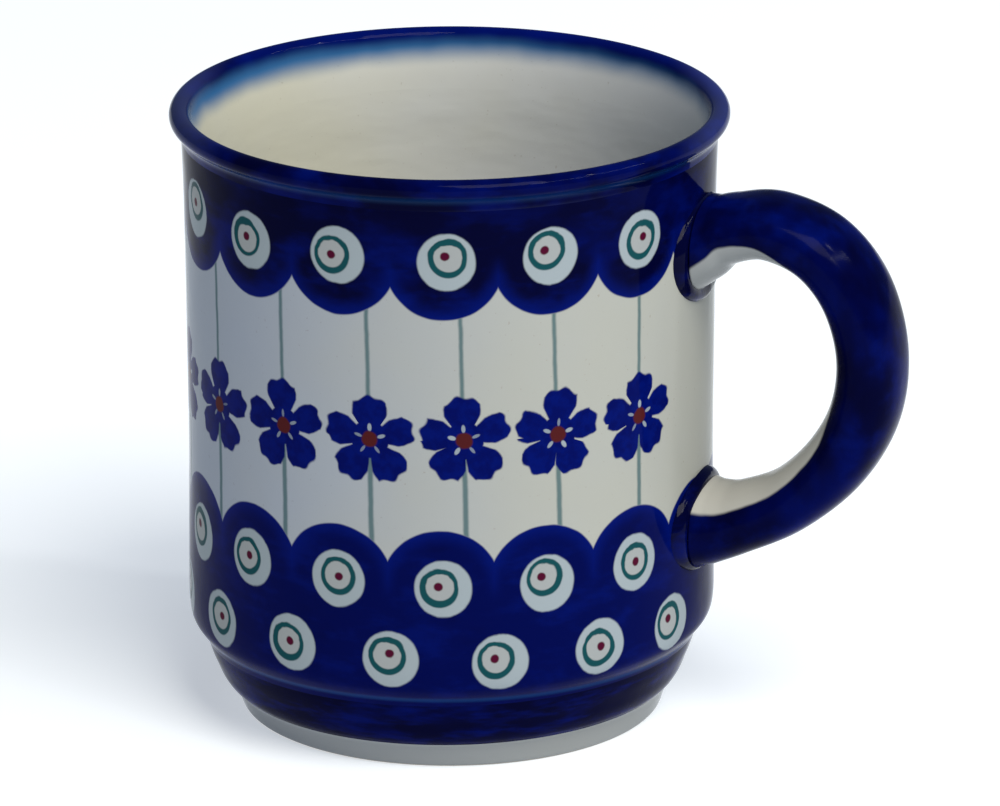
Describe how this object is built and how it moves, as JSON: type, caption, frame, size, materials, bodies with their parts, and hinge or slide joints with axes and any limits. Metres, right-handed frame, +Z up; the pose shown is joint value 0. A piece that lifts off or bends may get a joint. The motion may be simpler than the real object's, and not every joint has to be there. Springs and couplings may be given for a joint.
{
  "type": "stoneware mug",
  "caption": "Cylindrical stoneware mug with a rolled rim, an inset foot ring and a loop handle luted to the wall with slip.",
  "frame": {"origin": "centre of the whole mug's footprint box, handle included, at the foot's resting plane; the cup's own axis lies about 15 mm towards -X", "axes": "+Z up along the cup's axis, +X out through the handle, +Y across"},
  "size_m": [0.115, 0.0854, 0.096],
  "materials": {
    "cup_glaze": "glossy clear glaze over cream stoneware with cobalt, green and red-brown stamped underglaze decoration",
    "handle_glaze": "glossy clear glaze over brushed cobalt underglaze, cream on the inner face",
    "slip_glaze": "glossy clear glaze over cobalt-painted slip"
  },
  "bodies": {
    "root": {"cup_body": "cup_glaze", "handle": "handle_glaze", "upper_joint_slip": "slip_glaze", "lower_joint_slip": "slip_glaze"}
  },
  "joints": []
}
